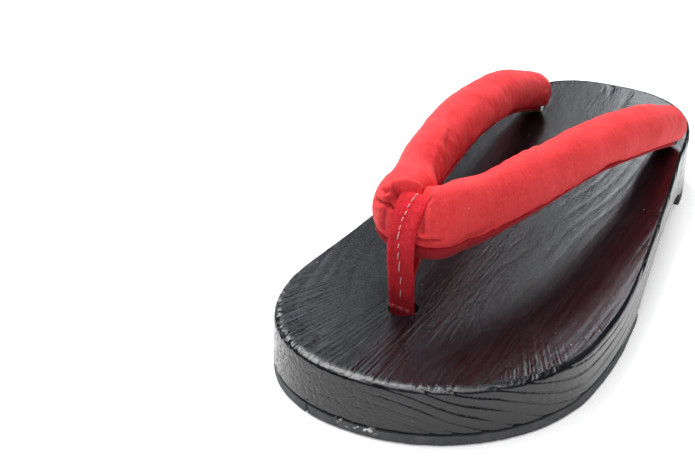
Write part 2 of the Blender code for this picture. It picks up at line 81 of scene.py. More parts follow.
# ---------------------------------------------------------------- sizes of the fine surface, in mm
BASE_POINTS, SOLE_POINTS = 1500, 1400       # points round the outline
WALL_ROWS, LIP_ROWS = 50, 11
BOTTOM_TUCK = 0.988             # the wood's bottom edge keeps this share of the outline
GRAIN_SPACING, FINE_SPACING, TOP_SPACING = 3.1, 1.13, 2.3       # between lines of the grain
GRAIN_DEPTH, FINE_DEPTH, TOP_DEPTH, PIT_DEPTH = 0.40, 0.14, 0.055, 0.16
BRISTLE_HEIGHT, CHIP_DEPTH = 0.42, 0.35     # torn fibres and chips at the lip
LOG_SIDE, LOG_DEPTH, LOG_SLOPE = 9, 50, 0.10        # where the middle of the log lies
SLIT_TRAVEL, SLIT_DEPTH = 616.0, 0.9        # where round the base the rubber's two ends meet
GLUE_TRAVEL, GLUE_REACH = 2.5, 9.0          # where dry glue shows on the rubber
STRAP_STEP, STRAP_SIDES, STRAP_RADIUS = 1.15, 84, 9.5
FOLD_TRAVEL, LOBE_TRAVEL = 18.4, 9.0        # the bend and the lobe, counted from the fold's middle
LOBE = {1: 1.5, -1: 3.2}        # how far the stuffed fold swells beyond the route, each side
LOBE_REACH = {1: 7.0, -1: 13.0}
LINING_STEPS, LINING_THICK = 30, 1.25
CROTCH, CROTCH_RADIUS = 13.0, 3.1           # the loop's rear leg, which the covers go round
CLOTH_SHRINK, CLOTH_PRESSURE, CLOTH_FRAMES, CLOTH_REACH = -0.012, 4, 20, 0.35
THONG_STEPS, THONG_SIDES = 14, 44
FIRST_STITCH, LAST_STITCH = 22, 108         # stations of the loop
THREAD_RADIUS, FIBRE_RADIUS = 0.17, 0.055
FOOT_FIBRES, EDGE_FIBRES = 46, 60
CORD_RADIUS, CORD_PITCH, KNOT_PITCH, KNOT_HEIGHT = 2.1, 7.0, 5.0, 1.35
REAR_KNOT, FRONT_KNOT = (3.5, 1.75, 0.6), (3.6, 1.7, 0.2)     # radius of knot and cord, turn
NAIL_HOLE_RADIUS = 0.9
FLOOR_REACH = 30000.0


# ---------------------------------------------------------------- noise on arrays
def lattice(cell, seed):
    """A repeatable value from -1 to 1 for every whole-number cell."""
    h = (cell[:, 0] * 374761393 + cell[:, 1] * 668265263 + cell[:, 2] * 1440670441 + seed * 1274126177)
    h = h & 0xFFFFFFFF
    h = ((h ^ (h >> 13)) * 1103515245) & 0xFFFFFFFF
    h = ((h ^ (h >> 16)) * 2246822519) & 0xFFFFFFFF
    return ((h >> 8) & 0xFFFF) / 32767.5 - 1.0


def noise(points, seed=0):
    """Smooth value noise from -1 to 1; points are in cells."""
    points = np.asarray(points, float)
    cell = np.floor(points).astype(np.int64)
    part = points - cell
    part = part * part * (3 - 2 * part)
    total = np.zeros(len(points))
    for corner in np.ndindex(2, 2, 2):
        pick = np.array(corner)
        weight = np.prod(np.where(pick, part, 1 - part), axis=1)
        total += weight * lattice(cell + pick, seed)
    return total


def fractal(points, seed=0, octaves=3, gain=0.5):
    total, size, reach = 0.0, 1.0, 0.0
    for k in range(octaves):
        total = total + size * noise(np.asarray(points) * 2.03 ** k, seed + 17 * k)
        reach += size
        size *= gain
    return total / reach


def step(low, high, x):
    """Smooth rise from 0 at low to 1 at high."""
    t = np.clip((np.asarray(x, float) - low) / (high - low), 0.0, 1.0)
    return t * t * (3 - 2 * t)


def columns(*parts):
    return np.stack(np.broadcast_arrays(*parts), axis=-1).reshape(-1, len(parts))


def circle(count):
    return np.linspace(0, 2 * math.pi, count, endpoint=False)


def units(rows):
    return rows / np.maximum(np.linalg.norm(rows, axis=1), 1e-9)[:, None]


def headings(points):
    """The direction of a line of points at each one."""
    return units(np.gradient(points, axis=0))


def travelled(points):
    """How far along a line of points each one is."""
    return np.concatenate([[0], np.cumsum(np.linalg.norm(np.diff(points, axis=0), axis=1))])


def resample(want, travel, rows):
    return np.stack([np.interp(want, travel, column) for column in rows.T], -1)


# ---------------------------------------------------------------- the base's own shape, in mm
def top_height(back):
    t = back / LENGTH
    return TOE_HEIGHT + (HEEL_HEIGHT - TOE_HEIGHT) * t - 4 * SAG * t * (1 - t)


def fade(distance):
    return np.maximum(0.0, 1 - distance / SWING_REACH) ** 1.5


def swing(back):
    return -TOE_SWING * fade(back) - HEEL_SWING * fade(LENGTH - back)


def raw_outline():
    a = np.linspace(0, math.pi / 2, 240)[:-1]
    toe = (TOE_ROUND * (1 - np.cos(a) ** (2 / TOE_POWER)), HALF_WIDTH * np.sin(a) ** (2 / TOE_POWER))
    t = np.linspace(0, 1, 160)[:-1]
    straight = LENGTH - TOE_ROUND - HEEL_ROUND
    side = (TOE_ROUND + straight * t, HALF_WIDTH + (HEEL_HALF_WIDTH - HALF_WIDTH) * t * t * (2 - t))
    a = np.linspace(0, math.pi / 2, 240)
    heel = (LENGTH - HEEL_ROUND + HEEL_ROUND * np.sin(a) ** (2 / HEEL_POWER),
            HEEL_HALF_WIDTH * np.maximum(0, np.cos(a)) ** (2 / HEEL_POWER))
    back = np.concatenate([toe[0], side[0], heel[0]])
    width = np.concatenate([toe[1], side[1], heel[1]])
    right = np.stack([back, width + swing(back)], 1)
    left = np.stack([back[1:-1], -width[1:-1] + swing(back[1:-1])], 1)
    return np.concatenate([right, left[::-1]])


RAW = raw_outline()
SIDE_SHIFT = -(RAW[:, 1].max() + RAW[:, 1].min()) / 2


def outline(count):
    """Evenly spaced points round the base, and how far round each one is."""
    points = np.stack([LENGTH / 2 - RAW[:, 0], RAW[:, 1] + SIDE_SHIFT], 1)
    loop = np.concatenate([points, points[:1]])
    travel = travelled(loop)
    want = np.linspace(0, travel[-1], count, endpoint=False)
    return resample(want, travel, loop), want


FRONT = np.array([LENGTH / 2 - FRONT_HOLE, FRONT_HOLE_OFFSET + SIDE_SHIFT])
REAR = np.array([REAR_HOLES - LENGTH / 2, REAR_HOLES_OFFSET + SIDE_SHIFT])
SPAN = float(np.linalg.norm(REAR - FRONT))
ALONG = (REAR - FRONT) / SPAN
ACROSS = np.array([-ALONG[1], ALONG[0]])
if ACROSS[1] < 0:
    ACROSS = -ACROSS
FORWARD, SIDEWAYS, UP = np.array([*-ALONG, 0.0]), np.array([*ACROSS, 0.0]), np.array([0.0, 0.0, 1.0])


def strap_points(rows):
    """(u back from the front hole, v to the outer side, w above the top) to x, y, z."""
    rows = np.asarray(rows, float).reshape(-1, 3)
    flat = FRONT + rows[:, :1] * ALONG + rows[:, 1:2] * ACROSS
    return np.column_stack([flat, top_height(LENGTH / 2 - flat[:, 0]) + rows[:, 2]])


# ---------------------------------------------------------------- meshes
def make_object(name, points, faces, material=None):
    """A mesh object from points in mm."""
    mesh = bpy.data.meshes.new(name)
    mesh.from_pydata((np.asarray(points) * MM).tolist(), [], faces)
    mesh.update()
    mesh.shade_smooth()
    obj = bpy.data.objects.new(name, mesh)
    bpy.context.scene.collection.objects.link(obj)
    if material:
        mesh.materials.append(material)
    return obj


def ring_faces(ring_count, size):
    """Quads between neighbouring rings of points."""
    faces = []
    for a in range(0, (ring_count - 1) * size, size):
        for j in range(size):
            k = (j + 1) % size
            faces.append((a + j, a + k, a + size + k, a + size + j))
    return faces


def fans(points, ring_count, size):
    """Closes both ends of a stack of rings with a middle point each."""
    first, last = points[:size].mean(0), points[(ring_count - 1) * size:ring_count * size].mean(0)
    total = ring_count * size
    points = np.vstack([points, first, last])
    faces = [(total, (j + 1) % size, j) for j in range(size)]
    start = (ring_count - 1) * size
    faces += [(total + 1, start + j, start + (j + 1) % size) for j in range(size)]
    return points, faces


def closed_skin(name, rings, material=None):
    """A closed surface through rings, an array of (ring, point, xyz)."""
    count, size = rings.shape[:2]
    points, caps = fans(rings.reshape(-1, 3), count, size)
    obj = make_object(name, points, ring_faces(count, size) + caps, material)
    face_out(obj)
    return obj


def volume(mesh):
    mesh.calc_loop_triangles()
    co = np.empty(len(mesh.vertices) * 3)
    mesh.vertices.foreach_get("co", co)
    tri = np.empty(len(mesh.loop_triangles) * 3, int)
    mesh.loop_triangles.foreach_get("vertices", tri)
    a, b, c = (co.reshape(-1, 3)[tri.reshape(-1, 3)[:, k]] for k in range(3))
    return float(np.einsum("ij,ij->i", a, np.cross(b, c)).sum()) / 6


def face_out(obj):
    if volume(obj.data) < 0:
        obj.data.flip_normals()


def points_of(obj):
    co = np.empty(len(obj.data.vertices) * 3)
    obj.data.vertices.foreach_get("co", co)
    return co.reshape(-1, 3) / MM


def normals_of(obj):
    n = np.empty(len(obj.data.vertices) * 3)
    obj.data.vertex_normals.foreach_get("vector", n)
    return n.reshape(-1, 3)


def set_points(obj, points):
    obj.data.vertices.foreach_set("co", (points * MM).ravel())
    obj.data.update()


def push(obj, amount):
    """Moves every point along its normal, in mm."""
    set_points(obj, points_of(obj) + normals_of(obj) * np.asarray(amount)[:, None])


def store(obj, name, values):
    attribute = obj.data.attributes.new(name, "FLOAT", "POINT")
    attribute.data.foreach_set("value", np.asarray(values, np.float32))


def apply_modifiers(obj):
    graph = bpy.context.evaluated_depsgraph_get()
    mesh = bpy.data.meshes.new_from_object(obj.evaluated_get(graph))
    old = obj.data
    obj.modifiers.clear()
    obj.data = mesh
    mesh.name = obj.name
    bpy.data.meshes.remove(old)


def subdivide(obj):
    modifier = obj.modifiers.new("subdivision", "SUBSURF")
    modifier.levels = modifier.render_levels = 1
    apply_modifiers(obj)


def carve(obj, cutters, sharp, operation="DIFFERENCE"):
    """Takes closed cutters out of obj, or keeps what is in them, and removes them."""
    for cutter in cutters:
        modifier = obj.modifiers.new(cutter.name, "BOOLEAN")
        modifier.operation = operation
        modifier.solver = "MANIFOLD"
        modifier.object = cutter
    apply_modifiers(obj)
    for cutter in cutters:
        bpy.data.objects.remove(cutter, do_unlink=True)
    obj.data.shade_smooth()
    obj.data.set_sharp_from_angle(angle=math.radians(sharp))


def turned(name, profile, middle, axis=(0, 0, 1), sides=96, material=None):
    """A closed body turned from (radius, height) pairs round an axis through middle."""
    turn = Vector(axis).to_track_quat("Z", "Y").to_matrix()
    a = circle(sides)
    rings = []
    for radius, height in profile:
        ring = columns(radius * np.cos(a), radius * np.sin(a), height)
        rings.append(ring @ np.array(turn).T + np.asarray(middle))
    return closed_skin(name, np.array(rings), material)


# ---------------------------------------------------------------- shader nodes
class Paint:
    """A material put together from shader nodes."""

    def __init__(self, name):
        self.material = bpy.data.materials.new(name)
        self.material.use_nodes = True
        self.tree = self.material.node_tree
        self.shader = self.tree.nodes["Principled BSDF"]

    def feed(self, socket, value):
        if isinstance(value, bpy.types.NodeSocket):
            self.tree.links.new(value, socket)
        elif isinstance(value, tuple) and len(value) == 3 and socket.type == "RGBA":
            socket.default_value = (*value, 1.0)
        else:
            socket.default_value = value

    def node(self, kind, feeds=None, **settings):
        made = self.tree.nodes.new("ShaderNode" + kind)
        for name, value in settings.items():
            setattr(made, name, value)
        for name, value in (feeds or {}).items():
            self.feed(made.inputs[name], value)
        return made

    def place(self, stretch=(1, 1, 1), turn=(0, 0, 0), source="Object"):
        """Coordinates in mm, stretched: a feature gets longer along an axis with a small number."""
        coords = self.node("TexCoord")
        size = 1.0 / MM if source == "Object" else 1.0
        scale = tuple(size * s for s in stretch)
        mapping = self.node("Mapping", {"Vector": coords.outputs[source], "Rotation": turn, "Scale": scale})
        return mapping.outputs["Vector"]

    def noise(self, vector, scale=1.0, detail=3.0, roughness=0.55, distortion=0.0):
        feeds = {"Vector": vector, "Scale": scale, "Detail": detail, "Roughness": roughness,
                 "Distortion": distortion}
        return self.node("TexNoise", feeds).outputs["Fac"]

    def cells(self, vector, scale):
        return self.node("TexVoronoi", {"Vector": vector, "Scale": scale}).outputs["Distance"]

    def wave(self, vector, scale, distortion, direction="X"):
        feeds = {"Vector": vector, "Scale": scale, "Distortion": distortion, "Detail": 2.0}
        return self.node("TexWave", feeds, bands_direction=direction).outputs["Fac"]

    def value(self, name):
        return self.node("Attribute", attribute_name=name).outputs["Fac"]

    def remap(self, value, low, high, to_low=0.0, to_high=1.0):
        feeds = {"Value": value, "From Min": low, "From Max": high, "To Min": to_low, "To Max": to_high}
        return self.node("MapRange", feeds).outputs["Result"]

    def math(self, operation, a, b=0.0):
        made = self.node("Math", operation=operation)
        self.feed(made.inputs[0], a)
        self.feed(made.inputs[1], b)
        return made.outputs[0]

    def mix(self, share, a, b):
        made = self.node("Mix", data_type="RGBA")
        self.feed(made.inputs[0], share)
        self.feed(made.inputs[6], a)
        self.feed(made.inputs[7], b)
        return made.outputs[2]

    def tint(self, color, value, low, high, most, other):
        """Blends to another colour, at most by this share, as value rises from low to high."""
        return self.mix(self.remap(value, low, high, 0.0, most), color, other)

    def bump(self, height, distance, strength=1.0, under=None):
        feeds = {"Height": height, "Distance": distance * MM, "Strength": strength}
        if under is not None:
            feeds["Normal"] = under
        return self.node("Bump", feeds).outputs["Normal"]

    def finish(self, **feeds):
        for name, value in feeds.items():
            self.feed(self.shader.inputs[name.replace("_", " ")], value)
        return self.material


def lacquered_wood():
    p = Paint("black_wood_look")
    fibre = p.noise(p.place((0.035, 1.0, 1.0)), 2.6, 4.0, 0.6)
    strand = p.noise(p.place((0.012, 0.40, 0.40)), 2.0, 3.0, 0.6, 0.3)
    cloud = p.noise(p.place((0.03, 0.05, 0.05)), 1.0, 3.0)
    pits = p.cells(p.place((0.35, 1.0, 1.0)), 0.55)
    grain = p.value("grain")
    bristle_highlight = p.value("bristle_highlight")
    char = p.mix(p.remap(strand, 0.38, 0.66), (0.0022, 0.0023, 0.0030), (0.009, 0.0095, 0.012))
    char = p.tint(char, cloud, 0.45, 0.70, 0.55, (0.018, 0.019, 0.023))
    char = p.tint(char, grain, 0.0, 1.0, 0.9, (0.003, 0.003, 0.004))
    # painted highlight: the torn fibres at the lip are lightened towards grey
    char = p.tint(char, bristle_highlight, 0.2, 1.0, 0.7, (0.10, 0.10, 0.11))
    speck = p.remap(p.cells(p.place((0.8, 1.0, 1.0)), 0.21), 0.055, 0.03)
    char = p.mix(p.math("MULTIPLY", speck, p.remap(cloud, 0.50, 0.58)), char, (0.35, 0.35, 0.36))
    rough = p.math("ADD", p.remap(fibre, 0.30, 0.70, 0.07, 0.17),
                   p.remap(strand, 0.35, 0.65, -0.02, 0.05))
    crackle = p.noise(p.place((0.34, 0.75, 0.75)), 1.5, 5.0, 0.72, 0.9)
    normal = p.bump(fibre, 0.13, 0.65)
    normal = p.bump(crackle, 0.17, 0.50, normal)
    normal = p.bump(strand, 0.14, 0.45, normal)
    normal = p.bump(p.remap(pits, 0.0, 0.30), 0.10, 0.5, normal)
    return p.finish(Base_Color=char, Roughness=rough, Normal=normal, Coat_Weight=0.16,
                    Coat_Roughness=0.12, Coat_IOR=1.5, Specular_IOR_Level=0.38)


def rubber_look():
    p = Paint("rubber_look")
    grit = p.noise(p.place(), 2.2, 5.0, 0.7)
    dust = p.noise(p.place(), 0.22, 3.0)
    pores = p.cells(p.place(), 1.1)
    color = p.mix(p.remap(grit, 0.35, 0.68), (0.030, 0.031, 0.033), (0.085, 0.087, 0.092))
    color = p.tint(color, dust, 0.45, 0.75, 0.5, (0.13, 0.13, 0.135))
    color = p.mix(p.value("speck"), color, (0.75, 0.74, 0.72))
    normal = p.bump(grit, 0.20, 0.7)
    normal = p.bump(p.remap(pores, 0.0, 0.25), 0.12, 0.6, normal)
    return p.finish(Base_Color=color, Roughness=p.remap(grit, 0.3, 0.7, 0.65, 0.92), Normal=normal)


def red_cloth():
    p = Paint("red_cloth_look")
    across = p.noise(p.place((1.0, 0.30, 1.0), source="UV"), 0.62, 3.0, 0.6, 0.6)
    fine = p.noise(p.place((1.0, 0.55, 1.0), source="UV"), 1.5, 4.0, 0.7)
    tone = p.noise(p.place(source="UV"), 0.06, 3.0)
    weave = p.math("MULTIPLY", p.wave(p.place(source="UV"), 1.15, 0.8, "X"),
                   p.wave(p.place(source="UV"), 1.15, 0.8, "Y"))
    color = p.mix(p.remap(tone, 0.35, 0.65), (0.70, 0.030, 0.034), (0.80, 0.048, 0.052))
    color = p.tint(color, fine, 0.46, 0.66, 0.34, (0.95, 0.125, 0.135))
    color = p.mix(p.remap(across, 0.30, 0.48, 0.28, 0.0), color, (0.50, 0.012, 0.024))
    # painted shade: the cloth darkens along the sunk fold lines
    color = p.tint(color, p.value("crease"), 0.15, 1.0, 0.75, (0.30, 0.006, 0.014))
    lint = p.remap(p.cells(p.place(source="UV"), 0.11), 0.040, 0.02)
    color = p.mix(p.math("MULTIPLY", lint, 0.7), color, (0.95, 0.42, 0.42))
    normal = p.bump(across, 0.42, 0.6)
    normal = p.bump(weave, 0.05, 0.5, normal)
    normal = p.bump(fine, 0.13, 0.6, normal)
    return p.finish(Base_Color=color, Roughness=p.remap(fine, 0.3, 0.7, 0.62, 0.85), Normal=normal,
                    Sheen_Weight=0.08, Sheen_Roughness=0.45, Sheen_Tint=(1.0, 0.45, 0.45),
                    Specular_IOR_Level=0.2)


def felt_look(name, dark, mid, light):
    p = Paint(name)
    fluff = p.noise(p.place(), 0.95, 6.0, 0.75, 0.5)
    hairs = p.noise(p.place((0.5, 1.0, 0.6), (0.3, 0.7, 0.2)), 1.5, 4.0, 0.7, 1.6)
    tone = p.noise(p.place(), 0.16, 3.0)
    color = p.mix(p.remap(fluff, 0.34, 0.66), dark, mid)
    color = p.tint(color, hairs, 0.56, 0.74, 0.65, light)
    color = p.tint(color, tone, 0.35, 0.75, 0.35, dark)
    normal = p.bump(fluff, 0.60, 0.85)
    normal = p.bump(hairs, 0.22, 0.7, normal)
    return p.finish(Base_Color=color, Roughness=p.remap(fluff, 0.3, 0.7, 0.85, 1.0), Normal=normal,
                    Sheen_Weight=0.18, Sheen_Roughness=0.6, Sheen_Tint=(1.0, 0.35, 0.35),
                    Specular_IOR_Level=0.2)


def thread_look(name, dark, light, spacing):
    p = Paint(name)
    twist = p.wave(p.place((1.0, 1.0, 1.0), (0.6, 0.3, 0.8)), spacing, 1.2)
    fuzz = p.noise(p.place(), 3.0, 4.0, 0.7)
    tone = p.noise(p.place(), 0.4, 2.0)
    color = p.mix(p.remap(twist, 0.1, 0.8), dark, light)
    color = p.tint(color, tone, 0.4, 0.7, 0.4, dark)
    normal = p.bump(twist, 0.15, 0.6)
    normal = p.bump(fuzz, 0.10, 0.7, normal)
    return p.finish(Base_Color=color, Roughness=p.remap(fuzz, 0.3, 0.7, 0.75, 0.98), Normal=normal)


def steel_look():
    p = Paint("steel_look")
    scratch = p.noise(p.place((0.08, 1.0, 1.0), (0.0, 0.0, 0.5)), 3.0, 4.0, 0.6)
    stain = p.noise(p.place(), 0.18, 5.0, 0.65)
    color = p.mix(p.remap(scratch, 0.35, 0.65), (0.42, 0.42, 0.41), (0.62, 0.62, 0.60))
    color = p.tint(color, stain, 0.55, 0.72, 0.8, (0.20, 0.13, 0.08))
    normal = p.bump(scratch, 0.03, 0.5)
    return p.finish(Base_Color=color, Roughness=p.remap(stain, 0.3, 0.7, 0.28, 0.55), Normal=normal,
                    Metallic=p.remap(stain, 0.58, 0.70, 1.0, 0.4))


# ---------------------------------------------------------------- wooden base
def grain_field(p):
    """Distance in mm from the middle of the log to each point, with the grain's waves in it."""
    x, y, z = p.T
    wave = 2.4 * fractal(columns(x / 75, y / 26, z / 26), 3, 2)
    wave += 0.35 * fractal(columns(x / 22, y / 9, z / 9), 9, 2)
    return np.sqrt((y + LOG_SIDE) ** 2 + (z + LOG_DEPTH + LOG_SLOPE * x) ** 2) + wave


def line_depth(distance, spacing, width):
    """1 on the lines of a set of rings, 0 away from them."""
    off = np.abs(distance / spacing - np.round(distance / spacing)) * spacing
    return np.exp(-(off / width) ** 2)


def base_look(material):
    """The base's walls, lip and top as one skin with its grain, then the holes and the arch."""
    edge, travel = outline(BASE_POINTS)
    rings, kind = [], []
    lip_z = top_height(LENGTH / 2 - edge[:, 0]) - LIP_RADIUS
    for i in range(WALL_ROWS):
        t = i / WALL_ROWS
        tuck = BOTTOM_TUCK if i == 0 else 1.0
        stretch = (1 + TOE_FLARE / (LENGTH / 2) * (1 - t)) * tuck
        height = WOOD_BOTTOM + (lip_z - WOOD_BOTTOM) * t
        rings.append(columns(edge[:, 0] * stretch, edge[:, 1] * tuck, height))
        kind.append(0.0)
    for a in np.linspace(0, math.pi / 2, LIP_ROWS):
        x, y = edge.T * (1 - LIP_RADIUS * (1 - math.cos(a)) / HALF_WIDTH)
        rings.append(columns(x, y, top_height(LENGTH / 2 - x) - LIP_RADIUS * (1 - math.sin(a))))
        kind.append(a / (math.pi / 2))
    for share in np.concatenate([np.linspace(0.994, 0.95, 8), np.linspace(0.94, 0.03, 62)]):
        x, y = edge.T * ((1 - LIP_RADIUS / HALF_WIDTH) * share)
        rings.append(columns(x, y, top_height(LENGTH / 2 - x) - DISH * (1 - share * share)))
        kind.append(1.0 + (1 - share))
    below = [columns(*(edge.T * share), WOOD_BOTTOM) for share in (0.02, 0.30, 0.60, 0.85, 0.97)]
    rings = np.array(below + rings)
    kind = np.repeat(np.concatenate([[-1.0] * len(below), kind]), BASE_POINTS)
    travel = np.tile(travel, len(rings))
    obj = closed_skin("base_surface", rings, material)
    kind = np.concatenate([kind, [-1.0, 2.0]])
    travel = np.concatenate([travel, [0.0, 0.0]])
    grain, bristle_highlight, depth = carving(points_of(obj), kind, travel)
    push(obj, depth)
    store(obj, "grain", grain)
    store(obj, "bristle_highlight", bristle_highlight)
    carve(obj, base_cutters(), 55)
    return obj


def carving(p, kind, travel):
    """Grain lines, torn fibres at the lip with a mask for their painted highlight, and slow waves; kind is
    below 0 underneath, then 0 on the walls, rising to 1 over the lip and to 2 at the middle of the top."""
    x, y, z = p.T
    rings = grain_field(p)
    wall = (kind >= 0) & (kind < 0.6)
    top = kind >= 0.6
    spread = 0.5 + 0.5 * fractal(columns(x / 22, y / 22, z / 9), 31, 2)
    end_grain = step(55, 100, x) * (1 - step(-12, 26, y))
    wall_lines = line_depth(rings, GRAIN_SPACING, 0.27) * step(0.30, 0.60, spread + 0.12)
    wall_lines = wall_lines * (1 - 0.9 * end_grain)
    pits = step(0.34, 0.62, noise(columns(travel / 0.75, z / 0.62, 0), 91)) * end_grain
    fine_lines = line_depth(rings, FINE_SPACING, 0.20) * step(0.45, 0.75, 1 - spread)
    fine_lines = fine_lines * (1 - 0.7 * end_grain)
    top_lines = line_depth(rings, TOP_SPACING, 0.34) * step(0.25, 0.60, spread)
    strands = fractal(columns(x / 20, y / 0.9, z / 0.9), 5, 3)
    slow = fractal(columns(x / 40, y / 18, z / 12), 41, 2)
    near_lip = np.where(kind >= 0, np.exp(-((kind - 0.75) / 0.55) ** 2), 0.0)
    near_lip = near_lip * np.where(kind > 1.05, 0.35, 1.0)
    bristle = fractal(columns(travel / 0.85, z / 5.0, kind * 1.6), 51, 2)
    ragged = step(-0.1, 0.55, fractal(columns(travel / 14, 0, 0), 61, 2)) * step(40, 85, x) * near_lip
    chips = step(0.52, 0.80, fractal(columns(travel / 3.0, z / 3.0, kind), 71, 2)) * near_lip
    depth = wall * (0.07 * slow + 0.03 * strands - GRAIN_DEPTH * wall_lines - FINE_DEPTH * fine_lines
                    - PIT_DEPTH * pits)
    depth += top * (0.06 * slow + 0.022 * strands - TOP_DEPTH * top_lines)
    depth += BRISTLE_HEIGHT * ragged * bristle - CHIP_DEPTH * chips
    grain = wall * (wall_lines + 0.6 * fine_lines + pits) + top * 0.4 * top_lines + chips
    # where the torn fibres at the lip stand up; the wood's colour is lightened there as a painted highlight
    bristle_highlight = ragged * step(0.15, 0.7, bristle)
    return np.clip(grain, 0, 1), np.clip(bristle_highlight, 0, 1), np.where(kind < 0, 0.0, depth)


def arch_height(x):
    half = (ARCH_FRONT - ARCH_REAR) / 2
    rise = ARCH_RISE - ARCH_STEP
    radius = (half * half + rise * rise) / (2 * rise)
    offset = x - (ARCH_FRONT + ARCH_REAR) / 2
    return WOOD_BOTTOM + ARCH_RISE - radius + math.sqrt(radius * radius - offset * offset)


def rod(name, radius, low, high, sides=64):
    low, high = Vector(low), Vector(high)
    length = (high - low).length
    profile = [(radius, -length / 2), (radius, length / 2)]
    return turned(name, profile, (low + high) / 2, (high - low), sides)


def rear_hole(side):
    x, y, z = strap_points([(SPAN, side * HOLE_SPREAD[side], 0.0)])[0]
    return Vector((x, y, z)), Vector((x + REAR_EXIT_SHIFT, y, REAR_POCKET_TOP))


def base_cutters():
    fx, fy = FRONT
    made = [rod("cut_hole", FRONT_HOLE_RADIUS, (fx, fy, 8), (fx, fy, 60)),
            rod("cut_pocket", POCKET_RADIUS, (fx, fy, 0), (fx, fy, WOOD_BOTTOM + POCKET_DEPTH)),
            rod("cut_seat", CAP_RADIUS + 0.3, (fx, fy, 1), (fx, fy, WOOD_BOTTOM + CAP_SEAT))]
    for side in (-1, 1):
        mouth, below = rear_hole(side)
        slope = (mouth - below).normalized()
        made.append(rod("cut_rear", REAR_HOLE_RADIUS, below - slope * 4, mouth + slope * 6, 40))
        made.append(rod("cut_rear_pocket", REAR_POCKET_RADIUS, (below.x, below.y, 0), below, 40))
    steps = 60
    roof = [ARCH_REAR + (ARCH_FRONT - ARCH_REAR) * i / steps for i in range(steps + 1)]
    profile = [(ARCH_FRONT, 0.0), (ARCH_REAR, 0.0)] + [(x, arch_height(x)) for x in roof]
    rings = np.array([[(x, y, z) for x, z in profile] for y in (-90, 90)], float)
    made.append(closed_skin("cut_arch", rings))
    return made


# ---------------------------------------------------------------- rubber soles
def sole_look(name, low, high, material, window=False):
    """The rubber between two places along the clog, with a window for the cap in the front one."""
    edge, round_it = outline(SOLE_POINTS)
    stretch = 1 + TOE_FLARE / (LENGTH / 2)
    profile = [(0.02, 0.0), (0.5, 0.0), (0.9, 0.0), (0.985, 0.0), (0.993, 0.12)]
    profile += [(1.0, z) for z in np.linspace(0.5, RUBBER - 0.7, 13)]
    profile += [(0.996, RUBBER - 0.3)] + [(k, RUBBER) for k in (0.988, 0.97, 0.7, 0.3, 0.02)]
    rings = [columns(edge[:, 0] * stretch * k, edge[:, 1] * k, z) for k, z in profile]
    obj = closed_skin(name, np.array(rings), material)
    z = points_of(obj)[:, 2]
    travel = np.concatenate([np.tile(round_it, len(rings)), [0, 0]])
    wall = (z > 0.05) & (z < RUBBER - 0.02)
    rough = 0.16 * fractal(columns(travel / 5.5, z / 2.5, 0), 7, 3)
    rough += 0.08 * fractal(columns(travel / 0.8, z / 0.6, 0), 8, 2)
    slit = np.exp(-((travel - SLIT_TRAVEL) / 0.5) ** 4)
    push(obj, wall * (rough - 0.10 - SLIT_DEPTH * slit))
    block = [[(x, -300, -5), (x, 300, -5), (x, 300, 9), (x, -300, 9)] for x in (low, high)]
    carve(obj, [closed_skin("keep", np.array(block, float))], 40, "INTERSECT")
    if window:
        carve(obj, [rod("cut_window", CAP_RADIUS + 1.6, (*FRONT, -5), (*FRONT, 9), 80)], 40)
    p = points_of(obj)
    middle = resample(GLUE_TRAVEL, round_it, edge)
    near = np.exp(-(((p[:, :2] - middle) ** 2).sum(1) / GLUE_REACH ** 2))
    blots = step(0.30, 0.42, noise(p / (1.1, 1.1, 0.7), 97))
    store(obj, "speck", blots * step(0.25, 0.8, near) * step(1.5, 3.2, p[:, 2]))
    return obj


# ---------------------------------------------------------------- strap
def arm_route(side):
    """(u, v, w, half width, half height) of one side's middle line, from the fold to the rear hole."""
    bend = FOLD_FRONT + FOLD_BEND
    wide, tall, rear = ARM_HALF_WIDTH, ARM_HALF_HEIGHT, SPAN
    rows = np.array([
        (FOLD_FRONT, 0.0, ARM_HEIGHT, FOLD_HALF_WIDTH, FOLD_HALF_HEIGHT),
        (bend - 8.3, 8.3, ARM_HEIGHT, FOLD_HALF_WIDTH, FOLD_HALF_HEIGHT),
        (bend, FOLD_BEND, ARM_HEIGHT, FOLD_HALF_WIDTH + 0.2, FOLD_HALF_HEIGHT),
        (FOLD_REACH, FOLD_BEND + 2.3, ARM_HEIGHT, FOLD_HALF_WIDTH + 1.4, FOLD_HALF_HEIGHT),
        (0.28 * rear, 19.5, ARM_HEIGHT + 0.6, wide - 0.6, tall + 0.8),
        (0.52 * rear, 25.7, ARM_HEIGHT - 0.7, wide, tall),
        (0.76 * rear, 29.5, ARM_HEIGHT - 9.0, wide, tall - 0.3),
        (0.90 * rear, 29.2, ARM_HEIGHT - 18.0, wide - 1.0, tall - 1.2),
        (0.965 * rear, 28.6, ARM_HEIGHT - 23.2, wide - 1.6, tall - 2.0),
        (0.993 * rear, 28.0, 5.8, wide - 2.8, tall - 3.4),
    ])
    lean = (HOLE_SPREAD[side] - HOLE_SPREAD[1]) * (rows[4:, 0] / rear) ** SPREAD_POWER
    rows[4:, 1] += lean
    return rows


def smooth_route(rows, before, after, steps=24):
    """Catmull-Rom points through rows; before and after lie beyond the ends."""
    padded = np.vstack([before, rows, after])
    made = []
    for i in range(len(rows) - 1):
        p, q, r, s = padded[i:i + 4]
        for t in np.arange(steps) / steps:
            made.append(0.5 * (2 * q + (r - p) * t + (2 * p - 5 * q + 4 * r - s) * t * t
                               + (3 * q - p - 3 * r + s) * t ** 3))
    made.append(rows[-1])
    return np.array(made)


